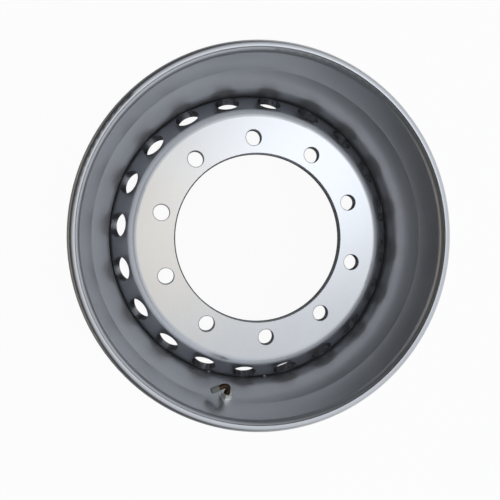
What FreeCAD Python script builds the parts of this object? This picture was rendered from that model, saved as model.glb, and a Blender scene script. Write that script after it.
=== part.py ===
"""Steel truck wheel: a rolled drop-centre rim, a pressed disc welded into its well, and a bent tyre valve.

Millimetres. The wheel lies on its rear flange with its axle along Z. The origin is the centre of the
hub bore on the disc's back face, where the wheel meets the hub, and +Z points out of the wheel's front.
"""
import FreeCAD, Part
import math
import os

V = FreeCAD.Vector
ORIGIN = V(0, 0, 0)
AXLE = V(0, 0, 1)

# Rim: 22.5 by 11.75 inches, measured at the bead seats
bead_radius = 571.5 / 2
rim_width = 298.5
flange_height = 12.7
flange_width = 13.25
flange_front_round = 9.5
flange_back_round = 2.5
bead_heel_round = 6.5
seat_angle = 15.0
seat_width = 45.0
slope_angle = 23.5
ledge_angle = 6.0
ledge_width = 35.0
rim_wall = 6.0
seat_end_round = 18.0
ledge_round = 20.0
well_front_round = 34.0
well_back_round = 24.0
lip_ridge_width = 2.2
lip_ridge_round = 0.8
lip_step_depth = 2.5
lip_step_lean = 0.8
lip_step_round = 0.6
lip_root_depth = 5.8
lip_root_round = 15.0

# Disc: pressed plate that thins towards its skirt
disc_plate = 14.0
disc_cone_wall = 12.0
disc_skirt_wall = 6.5
disc_fit_radius = 246.0
disc_inset = 50.0
cone_angle = 37.0
skirt_end = -57.0
skirt_edge_round = 1.5
shoulder_front_round = 18.0
shoulder_back_round = 8.0
skirt_front_round = 22.0
skirt_back_round = 14.0

hub_bore_radius = 281.0 / 2
hub_bore_chamfer = 2.0

bolt_count = 10
bolt_circle_radius = 335.0 / 2
bolt_hole_radius = 26.0 / 2
bolt_hole_chamfer = 1.0
bolt_phase = 22.05

hand_hole_count = 20
hand_hole_radius = 40.5 / 2
hand_hole_circle_radius = 232.3
hand_hole_height = -14.1
hand_hole_phase = bolt_phase + 9.0

# Welds between the disc and the rim
weld_leg = 5.0
weld_crown = 0.6
tack_angles = (251.2, 274.6)
tack_spread = 1.0
tack_foot_angle = 8.0
tack_top_angle = 24.0
tack_crown = 0.4

# Valve, on the front slope of the drop centre
valve_angle = 256.5
valve_height = 46.0
valve_arm_turn = 20.0
valve_hole_radius = 15.7 / 2
valve_spot_radius = 13.5
grommet_flange_radius = 11.0
grommet_flange = 3.5
grommet_edge_round = 1.0
stem_flange_radius = 10.0
stem_flange = 2.5
stem_thread_radius = 5.15
stem_thread_end = 11.0
stem_tube_radius = 4.2
stem_taper = 1.5
stem_bore_radius = 1.6
bend_start = 14.0
bend_radius = 8.0
bend_angle = 116.0
arm_length = 16.5
tip_thread_radius = 3.85
tip_thread_length = 10.5
tip_chamfer = 0.5
core_radius = 2.6
core_length = 12.0
core_head = 4.0
core_recess = 1.0
core_neck_radius = 1.9
core_pin_radius = 0.7
core_pin_recess = 0.3
washer_hole_radius = 5.4
washer_radius = 11.0
washer_thickness = 1.5
nut_across_flats = 17.0
nut_height = 7.0
nut_crown_radius = 8.2
nut_crown_angle = 30.0
cap_radius = 5.2
cap_top_radius = 4.6
cap_overlap = 10.0
cap_end = 2.2
cap_top_round = 1.2
cap_mouth_round = 0.3
cap_seal = 1.2

# Places that follow from the dimensions above
rim_middle = -disc_inset
half_width = rim_width / 2
flange_radius = bead_radius + flange_height
well_radius = disc_fit_radius + rim_wall
seat_end_radius = bead_radius - seat_width * math.tan(math.radians(seat_angle))
seat_end = half_width - seat_width
ledge_end_radius = seat_end_radius - ledge_width * math.tan(math.radians(ledge_angle))
ledge_end = ledge_width - seat_end
slope_rise = math.tan(math.radians(slope_angle))
well_front = seat_end - (seat_end_radius - well_radius) / slope_rise
well_back = ledge_end + (ledge_end_radius - well_radius) / slope_rise
cone_run = math.tan(math.radians(cone_angle))
skirt_corner = hand_hole_height - (disc_fit_radius - hand_hole_circle_radius) / cone_run
skirt_bend = skirt_corner - skirt_front_round * math.tan(math.radians(cone_angle / 2))


def rounded_outline(corners):
    """Closed face in the XZ plane from corners given as (radius, height, rounding)."""
    stops = []
    for index, (radius, height, rounding) in enumerate(corners):
        corner = V(radius, 0, height)
        before = corners[index - 1]
        after = corners[(index + 1) % len(corners)]
        back = V(before[0], 0, before[1]).sub(corner).normalize()
        ahead = V(after[0], 0, after[1]).sub(corner).normalize()
        half_angle = back.getAngle(ahead) / 2
        bisector = back.add(ahead).normalize()
        reach = rounding / math.tan(half_angle)
        crest = rounding / math.sin(half_angle) - rounding
        stops.append((corner + back * reach, corner + bisector * crest, corner + ahead * reach, rounding))
    edges = []
    for index, (start, middle, end, rounding) in enumerate(stops):
        previous_end = stops[index - 1][2]
        if previous_end.distanceToPoint(start) > 1e-6:
            edges.append(Part.LineSegment(previous_end, start).toShape())
        if rounding > 0:
            edges.append(Part.Arc(start, middle, end).toShape())
    return Part.Face(Part.Wire(edges))


def turned(corners):
    """Solid turned about the Z axis from a closed outline."""
    return rounded_outline(corners).revolve(ORIGIN, AXLE, 360)


def around(shape, count, phase):
    """Copies of a shape spaced evenly about the axle, the first turned by phase."""
    copies = []
    for index in range(count):
        copy = shape.copy()
        copy.rotate(ORIGIN, AXLE, phase + index * 360.0 / count)
        copies.append(copy)
    return copies


def offset_inward(path, wall):
    """Inner corners of a sheet whose outer side follows path, from the front of the rim to its back."""
    inner = []
    for before, corner, after in zip(path, path[1:], path[2:]):
        arriving = V(corner[0] - before[0], 0, corner[1] - before[1]).normalize()
        leaving = V(after[0] - corner[0], 0, after[1] - corner[1]).normalize()
        first_normal = V(arriving.z, 0, -arriving.x)
        second_normal = V(leaving.z, 0, -leaving.x)
        bisector = first_normal.add(second_normal).normalize()
        reach = wall / bisector.dot(first_normal)
        bends_to_axle = arriving.x * leaving.z - arriving.z * leaving.x > 0
        rounding = corner[2] + wall if bends_to_axle else corner[2] - wall
        inner.append((corner[0] + bisector.x * reach, corner[1] + bisector.z * reach, rounding))
    return inner


def sheet_outside():
    """Tyre side of the rim between its two bead heels, heights measured from the rim's middle."""
    return [
        (bead_radius, half_width, bead_heel_round),
        (seat_end_radius, seat_end, seat_end_round),
        (well_radius, well_front, well_front_round),
        (well_radius, well_back, well_back_round),
        (ledge_end_radius, ledge_end, ledge_round),
        (seat_end_radius, -seat_end, seat_end_round),
        (bead_radius, -half_width, bead_heel_round),
    ]


def flange(seat_corner):
    """Front flange, from the foot of the lip inside the wheel over the top to the bead heel."""
    lip = half_width + flange_width
    root = lip - lip_root_depth
    root_radius = seat_corner[0] + (root - abs(seat_corner[1])) * math.tan(math.radians(seat_angle))
    ridge_radius = flange_radius - flange_front_round - lip_ridge_width
    return [
        (root_radius, root, lip_root_round),
        (ridge_radius - lip_step_lean, lip - lip_step_depth, lip_step_round),
        (ridge_radius, lip, lip_ridge_round),
        (flange_radius, lip, flange_front_round),
        (flange_radius, half_width, flange_back_round),
    ]


def mirrored(corners):
    """The same corners on the other side of the rim's middle, in the opposite order."""
    return [(radius, -height, rounding) for radius, height, rounding in reversed(corners)]


def slope_corners():
    """Ends of the front slope on the wheel's inside, as (radius, height)."""
    inside = offset_inward(sheet_outside(), rim_wall)
    return [(radius, height + rim_middle) for radius, height, rounding in inside[:2]]


def valve_frame():
    """Placement of the valve: origin on the slope, Z out of the slope, X along the bent arm."""
    (top_radius, top_height), (foot_radius, foot_height) = slope_corners()
    share = (top_height - valve_height) / (top_height - foot_height)
    radius = top_radius + share * (foot_radius - top_radius)
    angle = math.radians(valve_angle)
    slope = math.radians(slope_angle)
    turn = math.radians(valve_arm_turn)
    outward = V(math.cos(angle), math.sin(angle), 0)
    clockwise = V(math.sin(angle), -math.cos(angle), 0)
    normal = outward * -math.cos(slope) + AXLE * math.sin(slope)
    up_slope = outward * math.sin(slope) + AXLE * math.cos(slope)
    arm = clockwise * math.cos(turn) + up_slope * math.sin(turn)
    side = normal.cross(arm)
    seat = outward * radius + AXLE * valve_height
    return FreeCAD.Placement(FreeCAD.Matrix(
        arm.x, side.x, normal.x, seat.x,
        arm.y, side.y, normal.y, seat.y,
        arm.z, side.z, normal.z, seat.z,
        0, 0, 0, 1))


def arm_frame():
    """Placement of the valve's arm in the valve's own frame: Z along the arm from the end of the bend."""
    bend = math.radians(bend_angle)
    end = V(bend_radius * (1 - math.cos(bend)), 0, bend_start + bend_radius * math.sin(bend))
    return FreeCAD.Placement(end, FreeCAD.Rotation(V(0, 1, 0), bend_angle))


def placed(shape, *placements):
    """The shape carried from its own frame into the wheel's, innermost placement last."""
    result = shape.copy()
    for placement in reversed(placements):
        result = result.transformed(placement.toMatrix())
    return result


def bent_bar(radius, foot, arm_end):
    """Round bar along the valve's path: up out of the slope, round the bend and along the arm."""
    upright = Part.makeCylinder(radius, bend_start - foot, V(0, 0, foot))
    section = Part.Face(Part.Wire(Part.makeCircle(radius, V(0, 0, bend_start), AXLE)))
    bend = section.revolve(V(bend_radius, 0, bend_start), V(0, 1, 0), bend_angle)
    arm = placed(Part.makeCylinder(radius, arm_end), arm_frame())
    return upright.fuse([bend, arm])


def make_rim(valve):
    outside = sheet_outside()
    inside = offset_inward(outside, rim_wall)
    front = flange(inside[0])
    section = front + outside + mirrored(front) + list(reversed(inside))
    body = turned([(radius, height + rim_middle, rounding) for radius, height, rounding in section])
    reach = 2 * rim_wall
    hole = Part.makeCylinder(valve_hole_radius, 2 * reach, V(0, 0, -reach))
    spot = Part.makeCylinder(valve_spot_radius, reach)
    return body.cut(placed(hole.fuse(spot), valve))


def make_disc():
    shoulder = hand_hole_circle_radius + cone_run * (hand_hole_height - disc_plate)
    back_radius = hand_hole_circle_radius - disc_cone_wall * math.cos(math.radians(cone_angle))
    back_height = hand_hole_height - disc_cone_wall * math.sin(math.radians(cone_angle))
    skirt_radius = disc_fit_radius - disc_skirt_wall
    plate = turned([
        (hub_bore_radius + hub_bore_chamfer, disc_plate, 0),
        (shoulder, disc_plate, shoulder_front_round),
        (disc_fit_radius, skirt_corner, skirt_front_round),
        (disc_fit_radius, skirt_end, 0),
        (skirt_radius, skirt_end, skirt_edge_round),
        (skirt_radius, back_height - (skirt_radius - back_radius) / cone_run, skirt_back_round),
        (back_radius + cone_run * back_height, 0, shoulder_back_round),
        (hub_bore_radius + hub_bore_chamfer, 0, 0),
        (hub_bore_radius, hub_bore_chamfer, 0),
        (hub_bore_radius, disc_plate - hub_bore_chamfer, 0),
    ])
    flare = bolt_hole_radius + bolt_hole_chamfer
    bolt_drill = turned([
        (0, -flare, 0),
        (bolt_hole_radius, -flare, 0),
        (bolt_hole_radius, disc_plate - bolt_hole_chamfer, 0),
        (flare + flare, disc_plate + flare, 0),
        (0, disc_plate + flare, 0),
    ])
    bolt_drill.translate(V(bolt_circle_radius, 0, 0))
    reach = 2 * disc_cone_wall
    hand_drill = Part.makeCylinder(hand_hole_radius, 2 * reach, V(0, 0, -reach))
    hand_drill.rotate(ORIGIN, V(0, 1, 0), 90 - cone_angle)
    hand_drill.translate(V(hand_hole_circle_radius, 0, hand_hole_height))
    bolt_drills = around(bolt_drill, bolt_count, bolt_phase)
    hand_drills = around(hand_drill, hand_hole_count, hand_hole_phase)
    return plate.cut(bolt_drills + hand_drills)


def make_disc_weld():
    corner = V(disc_fit_radius, 0, skirt_end)
    on_skirt = corner - V(weld_leg, 0, 0)
    on_rim = corner - V(0, 0, weld_leg)
    crown = (on_skirt + on_rim) * 0.5 + V(-1, 0, -1).normalize() * weld_crown
    edges = [
        Part.LineSegment(corner, on_skirt).toShape(),
        Part.Arc(on_skirt, crown, on_rim).toShape(),
        Part.LineSegment(on_rim, corner).toShape(),
    ]
    return Part.Face(Part.Wire(edges)).revolve(ORIGIN, AXLE, 360)


def on_skirt_bend(angle):
    """Point of the disc's outer bend, its angle counted up from where the bend meets the skirt."""
    turn = math.radians(angle)
    gap = skirt_front_round * (1 - math.cos(turn))
    return V(disc_fit_radius - gap, 0, skirt_bend + skirt_front_round * math.sin(turn))


def make_tack_welds():
    foot = on_skirt_bend(tack_foot_angle)
    middle = on_skirt_bend((tack_foot_angle + tack_top_angle) / 2)
    top = on_skirt_bend(tack_top_angle)
    rim_foot = V(disc_fit_radius, 0, foot.z)
    rim_top = V(disc_fit_radius, 0, top.z)
    crown = (top + rim_top) * 0.5 + AXLE * tack_crown
    section = Part.Face(Part.Wire([
        Part.Arc(foot, middle, top).toShape(),
        Part.Arc(top, crown, rim_top).toShape(),
        Part.LineSegment(rim_top, rim_foot).toShape(),
        Part.LineSegment(rim_foot, foot).toShape(),
    ]))
    beads = []
    for angle in tack_angles:
        bead = section.revolve(ORIGIN, AXLE, tack_spread)
        bead.rotate(ORIGIN, AXLE, angle - tack_spread / 2)
        beads.append(bead)
    return Part.makeCompound(beads)


def make_valve_stem():
    foot = -rim_wall - grommet_flange
    bottom = foot - stem_flange
    base = Part.makeCylinder(stem_flange_radius, stem_flange, V(0, 0, bottom))
    thread = turned([
        (0, foot, 0),
        (stem_thread_radius, foot, 0),
        (stem_thread_radius, stem_thread_end, 0),
        (stem_tube_radius, stem_thread_end + stem_taper, 0),
        (0, stem_thread_end + stem_taper, 0),
    ])
    shoulder = arm_length - tip_thread_length
    tip = turned([
        (0, shoulder, 0),
        (tip_thread_radius, shoulder, 0),
        (tip_thread_radius, arm_length - tip_chamfer, 0),
        (tip_thread_radius - tip_chamfer, arm_length, 0),
        (0, arm_length, 0),
    ])
    outside = bent_bar(stem_tube_radius, foot, shoulder).fuse([base, thread, placed(tip, arm_frame())])
    chamber = Part.makeCylinder(core_radius, core_length, V(0, 0, arm_length - core_length))
    passage = bent_bar(stem_bore_radius, bottom, arm_length)
    return outside.cut([passage, placed(chamber, arm_frame())]).removeSplitter()


def make_valve_grommet():
    foot = -rim_wall - grommet_flange
    return turned([
        (stem_thread_radius, foot, 0),
        (grommet_flange_radius, foot, grommet_edge_round),
        (grommet_flange_radius, -rim_wall, 0),
        (valve_hole_radius, -rim_wall, 0),
        (valve_hole_radius, 0, 0),
        (stem_thread_radius, 0, 0),
    ])


def make_valve_washer():
    disc = Part.makeCylinder(washer_radius, washer_thickness)
    return disc.cut(Part.makeCylinder(washer_hole_radius, washer_thickness))


def make_valve_nut():
    corner_radius = nut_across_flats / 2 / math.cos(math.pi / 6)
    corners = [V(corner_radius, 0, 0)]
    for index in range(1, 7):
        angle = index * math.pi / 3
        corners.append(V(corner_radius * math.cos(angle), corner_radius * math.sin(angle), 0))
    hexagon = Part.Face(Part.makePolygon(corners)).extrude(V(0, 0, nut_height))
    crown_drop = (corner_radius - nut_crown_radius) * math.tan(math.radians(nut_crown_angle))
    crown = turned([
        (0, 0, 0),
        (corner_radius, 0, 0),
        (corner_radius, nut_height - crown_drop, 0),
        (nut_crown_radius, nut_height, 0),
        (0, nut_height, 0),
    ])
    nut = hexagon.common(crown).cut(Part.makeCylinder(stem_thread_radius, nut_height))
    nut.translate(V(0, 0, washer_thickness))
    return nut


def make_valve_core():
    floor = arm_length - core_length
    head_top = arm_length - core_recess
    return turned([
        (0, floor, 0),
        (core_neck_radius, floor, 0),
        (core_neck_radius, head_top - core_head, 0),
        (core_radius, head_top - core_head, 0),
        (core_radius, head_top, 0),
        (core_pin_radius, head_top, 0),
        (core_pin_radius, arm_length - core_pin_recess, 0),
        (0, arm_length - core_pin_recess, 0),
    ])


def make_valve_cap():
    mouth = arm_length - cap_overlap
    ceiling = arm_length + cap_seal
    return turned([
        (tip_thread_radius, mouth, 0),
        (cap_radius, mouth, cap_mouth_round),
        (cap_top_radius, ceiling + cap_end, cap_top_round),
        (0, ceiling + cap_end, 0),
        (0, ceiling, 0),
        (tip_thread_radius, ceiling, 0),
    ])


def make_valve_cap_seal():
    return Part.makeCylinder(tip_thread_radius, cap_seal, V(0, 0, arm_length))


def main():
    valve = valve_frame()
    arm = arm_frame()
    nodes = {
        "rim": make_rim(valve),
        "disc": make_disc(),
        "disc_weld": make_disc_weld(),
        "tack_welds": make_tack_welds(),
        "valve_stem": placed(make_valve_stem(), valve),
        "valve_grommet": placed(make_valve_grommet(), valve),
        "valve_washer": placed(make_valve_washer(), valve),
        "valve_nut": placed(make_valve_nut(), valve),
        "valve_core": placed(make_valve_core(), valve, arm),
        "valve_cap": placed(make_valve_cap(), valve, arm),
        "valve_cap_seal": placed(make_valve_cap_seal(), valve, arm),
    }
    os.makedirs("parts", exist_ok=True)
    for name, shape in nodes.items():
        shape.exportStep(f"parts/{name}.step")
        print(name, len(shape.Solids), "solids", shape.isValid(), round(shape.Volume), "mm3")


main()
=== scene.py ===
"""Looks of a silver-painted steel truck wheel with its bent tyre valve, lying on its rear flange."""
import math

import bmesh
import bpy
from mathutils import Matrix, Vector


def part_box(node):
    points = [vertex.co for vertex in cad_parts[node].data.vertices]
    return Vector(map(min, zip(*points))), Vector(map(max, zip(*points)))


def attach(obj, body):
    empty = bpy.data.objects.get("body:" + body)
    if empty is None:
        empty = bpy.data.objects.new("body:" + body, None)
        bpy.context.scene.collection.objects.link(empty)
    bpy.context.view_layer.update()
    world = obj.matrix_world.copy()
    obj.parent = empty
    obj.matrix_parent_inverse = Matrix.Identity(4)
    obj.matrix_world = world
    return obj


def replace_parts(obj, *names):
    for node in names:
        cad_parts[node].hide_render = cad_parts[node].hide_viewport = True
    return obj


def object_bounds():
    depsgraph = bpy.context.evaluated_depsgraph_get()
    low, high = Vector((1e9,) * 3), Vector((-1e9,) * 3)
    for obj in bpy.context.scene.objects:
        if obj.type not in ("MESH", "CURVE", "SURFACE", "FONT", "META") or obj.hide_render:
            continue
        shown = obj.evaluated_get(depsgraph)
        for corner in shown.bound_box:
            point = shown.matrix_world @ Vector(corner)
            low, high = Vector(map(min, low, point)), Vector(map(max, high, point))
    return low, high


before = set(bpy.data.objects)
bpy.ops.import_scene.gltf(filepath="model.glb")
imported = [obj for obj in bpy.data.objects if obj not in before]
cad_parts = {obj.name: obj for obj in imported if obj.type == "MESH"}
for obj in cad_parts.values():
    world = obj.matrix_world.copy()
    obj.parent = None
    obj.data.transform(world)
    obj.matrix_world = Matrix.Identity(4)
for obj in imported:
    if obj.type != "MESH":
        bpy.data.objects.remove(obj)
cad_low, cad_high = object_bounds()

# Camera, fitted to the photo's circles: place in metres, turns in degrees
camera_place = (-0.2021, 0.0021, 0.9760)
camera_tilt = -2.205
camera_turn = -12.761
camera_lens = 42.18
camera_sensor = 36.0
camera_shift = (-0.0381, 0.0180)

# Place of the valve, as in the CAD: angles in degrees, sizes in metres
valve_angle = 256.5
valve_slope = 23.5
valve_arm_turn = 20.0
washer_thickness = 0.0015

# Valve stem: heights along the valve's axis, then along the arm from the end of the bend
stem_sides = 40
stem_bore_radius = 0.0016
stem_flange_radius = 0.010
stem_flange = 0.0025
stem_foot = -0.0095
stem_tube_radius = 0.0042
stem_taper = 0.0015
thread_radius = 0.00515
thread_start = 0.0085
thread_pitch = 0.0008
thread_turns = 3
thread_end = thread_start + thread_turns * thread_pitch
thread_depth = 0.00045
groove_floor = thread_pitch * 0.35
groove_end = thread_pitch * 0.70
bend_start = 0.014
bend_radius = 0.008
bend_angle = 116.0
bend_steps = 20
arm_length = 0.0165
tip_radius = 0.00385
tip_chamfer = 0.0005
tip_shoulder = arm_length - 0.0105
core_radius = 0.0026
core_floor = arm_length - 0.012

# Valve cap, along the arm
cap_radius = 0.0052
cap_top_radius = 0.0046
cap_bore_radius = 0.00385
cap_mouth = arm_length - 0.010
cap_ceiling = arm_length + 0.0012
cap_end = cap_ceiling + 0.0022
cap_top_round = 0.0012
cap_round_steps = 4
cap_ribs = 18
cap_rib_height = 0.0003

# Weld between the disc's skirt and the rim, on the back
weld_radius = 0.246
weld_height = -0.057
weld_leg = 0.005
weld_ripples = 430
ripple_radius = weld_leg * 0.62
ripple_inset = weld_leg * 0.38

# Edges that turn by more than this many degrees stay sharp
sharp_angle = 35.0

# Seam between the disc's outer bend and the rim, on the front, where the paint gets a dark tint: partly
# dirt, partly painted shade
seam_top = -0.025
seam_foot = -0.0385
seam_margin = 0.0025

# Rolled lip, where the paint lies smoothest
lip_start = 0.280
lip_end = 0.290

# Paint: dark and pale flake, dirt and painted shade in the seam, and roughness of each surface under it
paint_dark = (0.48, 0.49, 0.515)
paint_pale = (0.64, 0.65, 0.675)
dirt_and_shade_color = (0.022, 0.018, 0.014)
disc_roughness = 0.22
rim_roughness = 0.34
weld_roughness = 0.48

# Stage: in the paint's reflections the floor has painted shade under the wheel and painted light that
# grows to the right
floor_height = cad_low.z
floor_size = 12.0
floor_glow = 0.95
shaded_reach = cad_high.x
floor_dim_end = -0.4
floor_bright_start = 0.8

# Patches of the sky, in degrees: from +X, from the horizon, reach of the full light, reach of any light
dome_patch = (-8, 55, 38, 84)
key_patch = (24, 71, 5, 14)
zenith_patch = (0, 88, 3, 12)
cool_light = (0.92, 0.957, 1.0)
warm_light = (1.0, 0.84, 0.58)

# Low warm lamp at the left
strip_place = (-3.0, 0.0, 0.3)
strip_width = 5.0
strip_height = 0.4
strip_glow = 0.9
strip_color = (1.0, 0.82, 0.52)


class Value:
    """A socket of a node tree; arithmetic on it adds Math nodes."""

    def __init__(self, tree, socket=None):
        self.tree = tree
        self.socket = socket

    def node(self, kind, settings=None, sockets=None, output=0):
        """Adds a node of any kind: its settings first, then the values or links of its sockets."""
        made = self.tree.nodes.new(kind)
        for name, setting in (settings or {}).items():
            setattr(made, name, setting)
        for key, value in (sockets or {}).items():
            if isinstance(value, Value):
                self.tree.links.new(value.socket, made.inputs[key])
            else:
                made.inputs[key].default_value = value
        return Value(self.tree, made.outputs[output] if made.outputs else None)

    def math(self, operation, first, second=0.0):
        return self.node("ShaderNodeMath", {"operation": operation}, {0: first, 1: second})

    def __add__(self, other):
        return self.math("ADD", self, other)

    def __radd__(self, other):
        return self.math("ADD", other, self)

    def __sub__(self, other):
        return self.math("SUBTRACT", self, other)

    def __rsub__(self, other):
        return self.math("SUBTRACT", other, self)

    def __mul__(self, other):
        return self.math("MULTIPLY", self, other)

    def __rmul__(self, other):
        return self.math("MULTIPLY", other, self)

    def __truediv__(self, other):
        return self.math("DIVIDE", self, other)

    def __rtruediv__(self, other):
        return self.math("DIVIDE", other, self)


def blank_material(name):
    """A new material with an empty node tree, and a Value that adds nodes to it."""
    material = bpy.data.materials.new(name)
    material.use_nodes = True
    material.node_tree.nodes.clear()
    return material, Value(material.node_tree)


def show(tree, shader):
    """Links a shader to the material's output."""
    tree.node("ShaderNodeOutputMaterial", sockets={"Surface": shader})


def object_place(tree):
    return tree.node("ShaderNodeTexCoord", output="Object")


def coordinate(tree, place, axis):
    return tree.node("ShaderNodeSeparateXYZ", sockets={0: place}, output=axis)


def axle_distance(tree, place):
    """Distance of a place from the wheel's axle."""
    flat = tree.node("ShaderNodeVectorMath", {"operation": "MULTIPLY"}, {0: place, 1: (1.0, 1.0, 0.0)})
    return tree.node("ShaderNodeVectorMath", {"operation": "LENGTH"}, {0: flat}, output="Value")


def soft_step(tree, value, start, end):
    """0 at start and 1 at end of a value, with a soft change between them."""
    return tree.node("ShaderNodeMapRange", {"interpolation_type": "SMOOTHSTEP"}, {
        "Value": value,
        "From Min": start,
        "From Max": end,
    })


def blend_colors(tree, share, first, second):
    """First colour where share is 0, second where it is 1; each is a colour or a Value."""
    ends = [color if isinstance(color, Value) else (*color, 1.0) for color in (first, second)]
    return tree.node(
        "ShaderNodeMix",
        {"data_type": "RGBA"},
        {"Factor": share, 6: ends[0], 7: ends[1]},
        output=2,
    )


def noise(tree, place, scale, detail=3.0):
    return tree.node(
        "ShaderNodeTexNoise",
        sockets={"Vector": place, "Scale": scale, "Detail": detail},
    )


def turning_lines(tree, place, fineness):
    """Noise drawn out round the axle, as a rolled and spun surface shows."""
    radius = axle_distance(tree, place)
    along = tree.node("ShaderNodeCombineXYZ", sockets={
        "X": coordinate(tree, place, "X") / radius,
        "Y": coordinate(tree, place, "Y") / radius,
        "Z": coordinate(tree, place, "Z") * fineness,
    })
    return tree.node(
        "ShaderNodeTexNoise",
        {"noise_dimensions": "4D"},
        {"Vector": along, "W": radius * fineness, "Scale": 1.0, "Detail": 2.0},
    )


def seam_dirt_and_painted_shade(tree, place):
    """Dark tint in the narrow seam between the disc's bend and the rim, deepest at its foot: partly
    dirt, partly painted shade.
    """
    height = coordinate(tree, place, "Z")
    off_rim = tree.math("ABSOLUTE", axle_distance(tree, place) - weld_radius)
    depth = soft_step(tree, height, seam_top, seam_foot)
    in_front = tree.math("GREATER_THAN", height, seam_foot - seam_margin)
    beside_rim = tree.math("LESS_THAN", off_rim, seam_margin)
    return depth * in_front * beside_rim


def silver_paint(name, roughness):
    """Satin silver metallic paint with fine flake and faint lines that follow the wheel's turning."""
    material, tree = blank_material(name)
    place = object_place(tree)
    flake = noise(tree, place, 900.0, 2.0)
    cloud = noise(tree, place, 14.0)
    lines = turning_lines(tree, place, 420.0)
    # Dark tint in the seam, partly dirt and partly painted shade; it also darkens the crowns of the
    # tack welds there
    dirt_and_shade = seam_dirt_and_painted_shade(tree, place)
    lip = soft_step(tree, axle_distance(tree, place), lip_start, lip_end)
    tone = flake * 0.55 + cloud * 0.35 + lines * 0.1
    clean = blend_colors(tree, tone, paint_dark, paint_pale)
    ripple = tree.node(
        "ShaderNodeBump",
        sockets={"Strength": 0.03, "Distance": 0.0001, "Height": flake * 0.5 + lines * 0.3},
    )
    show(tree, tree.node("ShaderNodeBsdfPrincipled", sockets={
        "Base Color": blend_colors(tree, dirt_and_shade, clean, dirt_and_shade_color),
        "Metallic": 1.0 - dirt_and_shade * 0.8,
        "Roughness": roughness * (1.0 - lip * 0.25) + lines * 0.04 + cloud * 0.04 + dirt_and_shade * 0.3,
        "Coat Weight": 0.4 - dirt_and_shade * 0.4,
        "Coat Roughness": 0.12,
        "Normal": ripple,
    }))
    return material


def grained_finish(name, grain_scale, dark, pale, metallic, roughness, roughness_spread):
    """Finish of a small piece, whose colour and gloss vary with a fine grain."""
    material, tree = blank_material(name)
    grain = noise(tree, object_place(tree), grain_scale)
    show(tree, tree.node("ShaderNodeBsdfPrincipled", sockets={
        "Base Color": blend_colors(tree, grain, dark, pale),
        "Metallic": metallic,
        "Roughness": roughness + grain * roughness_spread,
    }))
    return material


def dulled_brass():
    return grained_finish(
        "dulled_brass", 260.0, (0.018, 0.012, 0.008), (0.085, 0.052, 0.028), 1.0, 0.16, 0.2)


def zinc_plating():
    return grained_finish(
        "zinc_plating", 400.0, (0.70, 0.72, 0.69), (0.86, 0.87, 0.84), 0.9, 0.28, 0.15)


def moulded_rubber():
    return grained_finish(
        "moulded_rubber", 900.0, (0.012, 0.012, 0.012), (0.035, 0.034, 0.033), 0.0, 0.55, 0.2)


def cap_plastic():
    return grained_finish(
        "cap_plastic", 700.0, (0.13, 0.14, 0.12), (0.21, 0.22, 0.19), 0.0, 0.35, 0.15)


def valve_frame():
    """Placement of the valve: origin on the rim's slope, Z out of the slope, X along the bent arm."""
    angle = math.radians(valve_angle)
    slope = math.radians(valve_slope)
    turn = math.radians(valve_arm_turn)
    axle = Vector((0, 0, 1))
    outward = Vector((math.cos(angle), math.sin(angle), 0))
    clockwise = Vector((math.sin(angle), -math.cos(angle), 0))
    normal = axle * math.sin(slope) - outward * math.cos(slope)
    up_slope = axle * math.cos(slope) + outward * math.sin(slope)
    arm = clockwise * math.cos(turn) + up_slope * math.sin(turn)
    side = normal.cross(arm)
    low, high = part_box("valve_washer")
    seat = (Vector(low) + Vector(high)) / 2 - normal * washer_thickness / 2
    turned = Matrix((arm, side, normal)).transposed().to_4x4()
    return Matrix.Translation(seat) @ turned


def arm_frame():
    """Placement of the valve's arm in the valve's frame: Z along the arm from the end of the bend."""
    bend = math.radians(bend_angle)
    end = (bend_radius * (1 - math.cos(bend)), 0, bend_start + bend_radius * math.sin(bend))
    return Matrix.Translation(end) @ Matrix.Rotation(bend, 4, "Y")


def turned_form(profile, steps):
    """Mesh swept round Z from a profile of (radius, height) points."""
    form = bmesh.new()
    points = [form.verts.new((radius, 0, height)) for radius, height in profile]
    edges = [form.edges.new(pair) for pair in zip(points, points[1:])]
    bmesh.ops.spin(
        form,
        geom=points + edges,
        axis=(0, 0, 1),
        cent=(0, 0, 0),
        angle=math.tau,
        steps=steps,
        use_merge=True,
    )
    bmesh.ops.remove_doubles(form, verts=form.verts, dist=1e-7)
    bmesh.ops.recalc_face_normals(form, faces=form.faces)
    return form


def add_piece(name, form, material):
    """Turns a finished mesh form into a piece of the wheel."""
    for face in form.faces:
        face.smooth = True
    mesh = bpy.data.meshes.new(name)
    form.to_mesh(mesh)
    form.free()
    mesh.set_sharp_from_angle(angle=math.radians(sharp_angle))
    mesh.materials.append(material)
    piece = bpy.data.objects.new(name, mesh)
    bpy.context.scene.collection.objects.link(piece)
    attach(piece, "root")
    return piece


def make_cap(material):
    """Screwed cap with moulded grip ribs round its side."""
    rounding = []
    for step in range(cap_round_steps + 1):
        turn = math.radians(90 * step / cap_round_steps)
        rounding.append((
            cap_top_radius - cap_top_round * (1 - math.cos(turn)),
            cap_end - cap_top_round * (1 - math.sin(turn)),
        ))
    form = turned_form([
        (0, cap_ceiling),
        (cap_bore_radius, cap_ceiling),
        (cap_bore_radius, cap_mouth),
        (cap_radius - cap_rib_height, cap_mouth),
        *rounding,
        (0, cap_end),
    ], 2 * cap_ribs)
    middle = (cap_mouth + cap_end) / 2
    sides = [
        face for face in form.faces
        if abs(face.normal.z) < 0.3
        and face.calc_center_median().xy.length > cap_bore_radius + cap_rib_height
        and face.calc_center_median().z < middle
    ]
    sides.sort(key=lambda face: math.atan2(*face.calc_center_median().xy))
    bmesh.ops.inset_individual(form, faces=sides[::2], thickness=cap_rib_height, depth=cap_rib_height)
    bmesh.ops.transform(form, matrix=valve_frame() @ arm_frame(), verts=form.verts)
    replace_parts(add_piece("ribbed_cap", form, material), "valve_cap")


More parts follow.
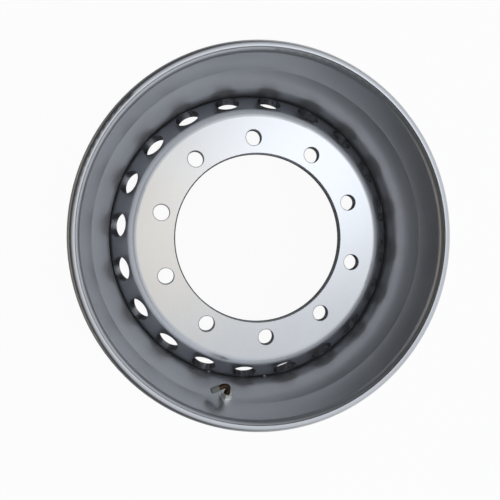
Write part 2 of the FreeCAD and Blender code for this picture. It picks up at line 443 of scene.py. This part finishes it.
def make_stem(material):
    """Bent, bored stem with its base flange and the turns of thread that show above the nut."""
    lower = [
        (stem_bore_radius, bend_start),
        (stem_bore_radius, stem_foot - stem_flange),
        (stem_flange_radius, stem_foot - stem_flange),
        (stem_flange_radius, stem_foot),
        (thread_radius, stem_foot),
        (thread_radius, thread_start),
    ]
    for turn in range(thread_turns):
        root = thread_start + turn * thread_pitch
        lower.append((thread_radius - thread_depth, root + groove_floor))
        lower.append((thread_radius, root + groove_end))
        lower.append((thread_radius, root + thread_pitch))
    lower.append((stem_tube_radius, thread_end + stem_taper))
    lower.append((stem_tube_radius, bend_start))
    arm = [
        (stem_tube_radius, 0.0),
        (stem_tube_radius, tip_shoulder),
        (tip_radius, tip_shoulder),
        (tip_radius, arm_length - tip_chamfer),
        (tip_radius - tip_chamfer, arm_length),
        (core_radius, arm_length),
        (core_radius, core_floor),
        (stem_bore_radius, core_floor),
        (stem_bore_radius, 0.0),
    ]
    form = turned_form(lower, stem_sides)
    bmesh.ops.spin(
        form,
        geom=[edge for edge in form.edges if edge.is_boundary],
        axis=(0, 1, 0),
        cent=(bend_radius, 0, bend_start),
        angle=math.radians(bend_angle),
        steps=bend_steps,
    )
    arm_form = turned_form(arm, stem_sides)
    bmesh.ops.transform(arm_form, matrix=arm_frame(), verts=arm_form.verts)
    arm_mesh = bpy.data.meshes.new("stem_arm")
    arm_form.to_mesh(arm_mesh)
    arm_form.free()
    form.from_mesh(arm_mesh)
    bpy.data.meshes.remove(arm_mesh)
    bmesh.ops.remove_doubles(form, verts=form.verts, dist=1e-6)
    bmesh.ops.recalc_face_normals(form, faces=form.faces)
    bmesh.ops.transform(form, matrix=valve_frame(), verts=form.verts)
    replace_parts(add_piece("threaded_stem", form, material), "valve_stem")


def make_weld_bead(material):
    """Fillet weld laid in overlapping ripples round the skirt's end."""
    form = bmesh.new()
    corner = (weld_radius - ripple_inset, 0, weld_height - ripple_inset)
    bmesh.ops.create_uvsphere(
        form,
        u_segments=12,
        v_segments=6,
        radius=ripple_radius,
        matrix=Matrix.Translation(corner),
    )
    bmesh.ops.spin(
        form,
        geom=[*form.verts, *form.edges, *form.faces],
        axis=(0, 0, 1),
        cent=(0, 0, 0),
        angle=math.tau * (weld_ripples - 1) / weld_ripples,
        steps=weld_ripples - 1,
        use_duplicate=True,
    )
    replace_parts(add_piece("rippled_weld", form, material), "disc_weld")


def dress_wheel():
    """Gives each node of the wheel its finish and adds the finer pieces."""
    weld_paint = silver_paint("weld_paint", weld_roughness)
    brass = dulled_brass()
    zinc = zinc_plating()
    rubber = moulded_rubber()
    finishes = {
        "rim": silver_paint("rim_paint", rim_roughness),
        "disc": silver_paint("disc_paint", disc_roughness),
        "tack_welds": weld_paint,
        "valve_core": brass,
        "valve_nut": zinc,
        "valve_washer": zinc,
        "valve_grommet": rubber,
        "valve_cap_seal": rubber,
    }
    for name, material in finishes.items():
        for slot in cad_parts[name].material_slots:
            slot.material = material
    make_weld_bead(weld_paint)
    make_stem(brass)
    make_cap(cap_plastic())


def floor_finish():
    """Pale floor with the wheel's shadow, white to the camera; in the paint's reflections it shows
    painted shade and a painted light that grows to the right.
    """
    material, tree = blank_material("pale_floor")
    place = object_place(tree)
    outside = tree.math("GREATER_THAN", axle_distance(tree, place), shaded_reach)
    # Glow that reflections see beyond the wheel's reach, rising to the right: painted light
    brighter_right = soft_step(tree, coordinate(tree, place, "X"), floor_dim_end, floor_bright_start)
    seen = tree.node("ShaderNodeLightPath", output="Is Camera Ray")
    mirrored = tree.node("ShaderNodeLightPath", output="Is Glossy Ray")
    through = tree.node("ShaderNodeLightPath", output="Is Transmission Ray")
    shown = tree.math("MINIMUM", seen + through + mirrored * outside * brighter_right, 1.0)
    pale = tree.node("ShaderNodeBsdfDiffuse", sockets={"Color": (0.85, 0.85, 0.85, 1.0)})
    # Darker floor colour that only reflections see: painted shade
    dim = tree.node("ShaderNodeBsdfDiffuse", sockets={"Color": (0.35, 0.35, 0.35, 1.0)})
    ground = tree.node("ShaderNodeMixShader", sockets={0: mirrored, 1: pale, 2: dim})
    white = tree.node("ShaderNodeEmission", sockets={"Color": (1.0, 1.0, 1.0, 1.0), "Strength": 1.0})
    show(tree, tree.node("ShaderNodeMixShader", sockets={0: shown * floor_glow, 1: ground, 2: white}))
    return material


def make_floor():
    form = bmesh.new()
    bmesh.ops.create_grid(form, x_segments=1, y_segments=1, size=floor_size)
    bmesh.ops.translate(form, verts=form.verts, vec=(0, 0, floor_height))
    mesh = bpy.data.meshes.new("floor")
    form.to_mesh(mesh)
    form.free()
    mesh.materials.append(floor_finish())
    floor = bpy.data.objects.new("floor", mesh)
    bpy.context.scene.collection.objects.link(floor)


def hang_warm_strip():
    """Long low lamp that faces the wheel; a glow of 1 shows its full colour in a mirror."""
    lamp = bpy.data.lights.new("warm_strip", "AREA")
    lamp.shape = "RECTANGLE"
    lamp.size = strip_width
    lamp.size_y = strip_height
    lamp.energy = strip_glow * math.pi * strip_width * strip_height
    lamp.color = strip_color
    holder = bpy.data.objects.new("warm_strip", lamp)
    holder.location = strip_place
    holder.rotation_euler = (-Vector(strip_place)).to_track_quat("-Z", "Y").to_euler()
    bpy.context.scene.collection.objects.link(holder)


def sky_patch(tree, direction, azimuth, elevation, full, none):
    """1 near one place of the sky, up to the angle full, falling softly to 0 at the angle none."""
    around = math.radians(azimuth)
    up = math.radians(elevation)
    aim = (math.cos(up) * math.cos(around), math.cos(up) * math.sin(around), math.sin(up))
    nearness = tree.node(
        "ShaderNodeVectorMath",
        {"operation": "DOT_PRODUCT"},
        {0: direction, 1: aim},
        output="Value",
    )
    return soft_step(tree, nearness, math.cos(math.radians(none)), math.cos(math.radians(full)))


def tinted(tree, color, strength):
    return tree.node("ShaderNodeVectorMath", {"operation": "SCALE"}, {0: color, "Scale": strength})


def light_studio():
    """A soft dome that is brightest above and to the right, as over the wheel in the photo."""
    world = bpy.data.worlds.new("studio")
    bpy.context.scene.world = world
    world.use_nodes = True
    world.node_tree.nodes.clear()
    tree = Value(world.node_tree)
    direction = tree.node("ShaderNodeTexCoord", output="Generated")
    dome = sky_patch(tree, direction, *dome_patch)
    key = sky_patch(tree, direction, *key_patch)
    zenith = sky_patch(tree, direction, *zenith_patch)
    cool = tinted(tree, cool_light, 0.04 + dome * (0.92 - zenith * 0.42) + key * 1.25)
    warm = tinted(tree, warm_light, zenith * 0.88)
    light = tree.node("ShaderNodeVectorMath", {"operation": "ADD"}, {0: cool, 1: warm})
    seen = tree.node("ShaderNodeLightPath", output="Is Camera Ray")
    shown = blend_colors(tree, seen, light, (1.0, 1.0, 1.0))
    glow = tree.node("ShaderNodeBackground", sockets={"Color": shown, "Strength": 1.0})
    tree.node("ShaderNodeOutputWorld", sockets={"Surface": glow})
    hang_warm_strip()


def make_camera():
    camera = bpy.data.cameras.new("camera")
    camera.lens = camera_lens
    camera.sensor_width = camera_sensor
    camera.shift_x, camera.shift_y = camera_shift
    holder = bpy.data.objects.new("camera", camera)
    holder.matrix_world = (
        Matrix.Translation(camera_place)
        @ Matrix.Rotation(math.radians(camera_tilt), 4, "X")
        @ Matrix.Rotation(math.radians(camera_turn), 4, "Y")
    )
    bpy.context.scene.collection.objects.link(holder)
    bpy.context.scene.camera = holder


dress_wheel()
make_floor()
light_studio()
make_camera()
bpy.context.scene.view_settings.view_transform = "Standard"
